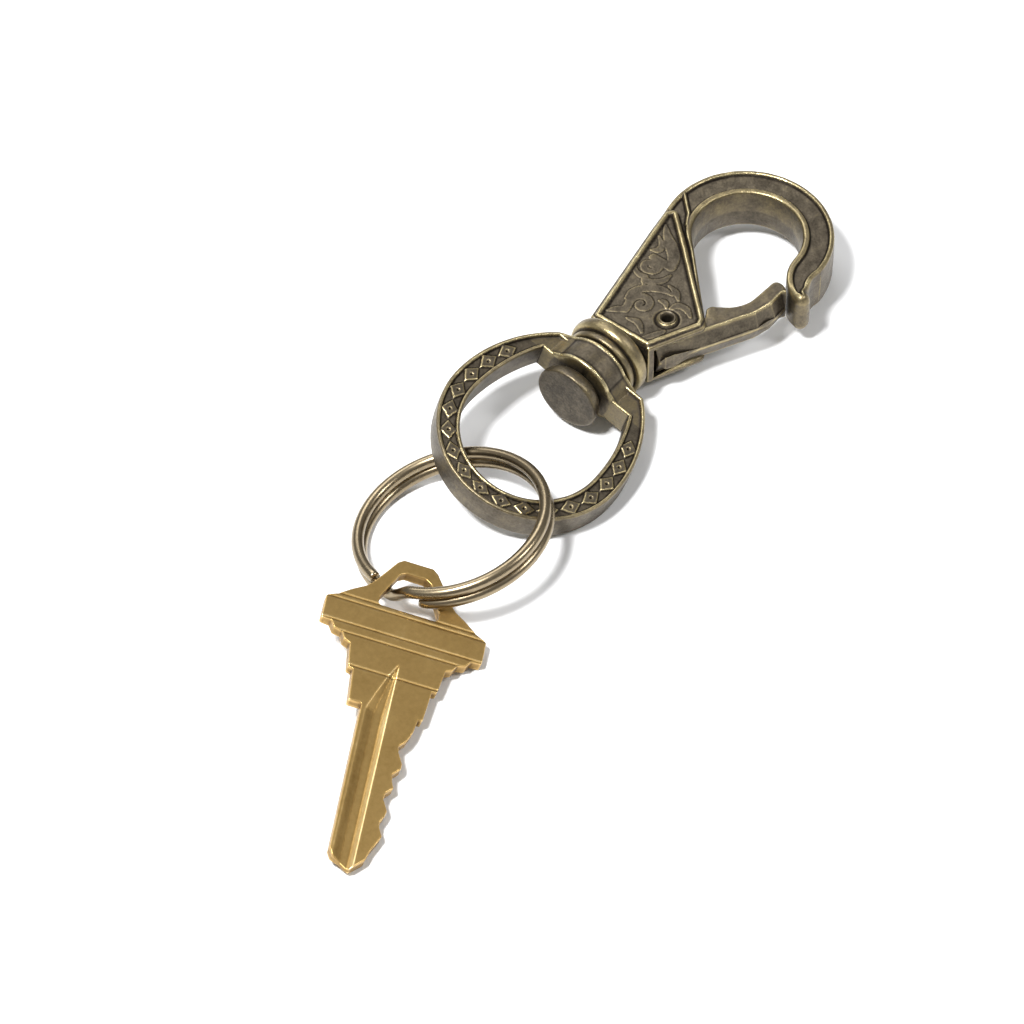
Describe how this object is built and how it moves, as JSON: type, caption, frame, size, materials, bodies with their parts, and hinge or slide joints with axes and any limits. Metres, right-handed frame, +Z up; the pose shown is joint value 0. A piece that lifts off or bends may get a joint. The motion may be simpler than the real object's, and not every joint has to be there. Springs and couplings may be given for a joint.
{
  "type": "snap clip keyring",
  "caption": "Swivel snap clip with a sprung gate and a D-shaped bow that carries a split ring and a door key.",
  "frame": {"origin": "centre of the hook's round eye, half way through its thickness", "axes": "+X along the swivel axis from the rivet's head towards the hook's crown, +Y towards the closed side of the hook, +Z up, square to the hook's flat faces"},
  "size_m": [0.13, 0.0384, 0.0126],
  "materials": {
    "cast_brass": "antiqued, dark in the recesses and worn bright on the edges",
    "pin_brass": "antiqued satin",
    "spring_steel": "drawn wire",
    "ring_brass": "smooth antiqued",
    "key_brass": "satin"
  },
  "bodies": {
    "clip": {"clip_body": "cast_brass", "gate_pin": "pin_brass", "swivel_rivet": "cast_brass"},
    "gate": {"gate": "cast_brass", "gate_spring": "spring_steel"},
    "bow": {"bow": "cast_brass"},
    "ring": {"split_ring": "ring_brass"},
    "key": {"key": "key_brass"}
  },
  "joints": [
    {"name": "gate_hinge", "type": "hinge", "parent": "clip", "child": "gate", "pos_m": [-0.02025, -0.0006, 0], "axis": [0, 0, 1], "range_deg": [0, 25], "stiffness_Nm_per_rad": 0.02, "springref_deg": -57.3, "deforming": ["gate_spring"]},
    {"name": "bow_swivel", "type": "hinge", "parent": "clip", "child": "bow", "pos_m": [-0.0288, 0.0037, 0], "axis": [1, 0, 0], "continuous": true},
    {"name": "ring_swing", "type": "hinge", "parent": "bow", "child": "ring", "pos_m": [-0.05758, 0.00902, 0.00148], "axis": [-0.4999, -0.8348, -0.2309], "range_deg": [0, 120]},
    {"name": "key_swing", "type": "hinge", "parent": "ring", "child": "key", "pos_m": [-0.07832, -0.00128, -0.00072], "axis": [0.278, -0.921, 0.273], "range_deg": [-5, 100]}
  ]
}
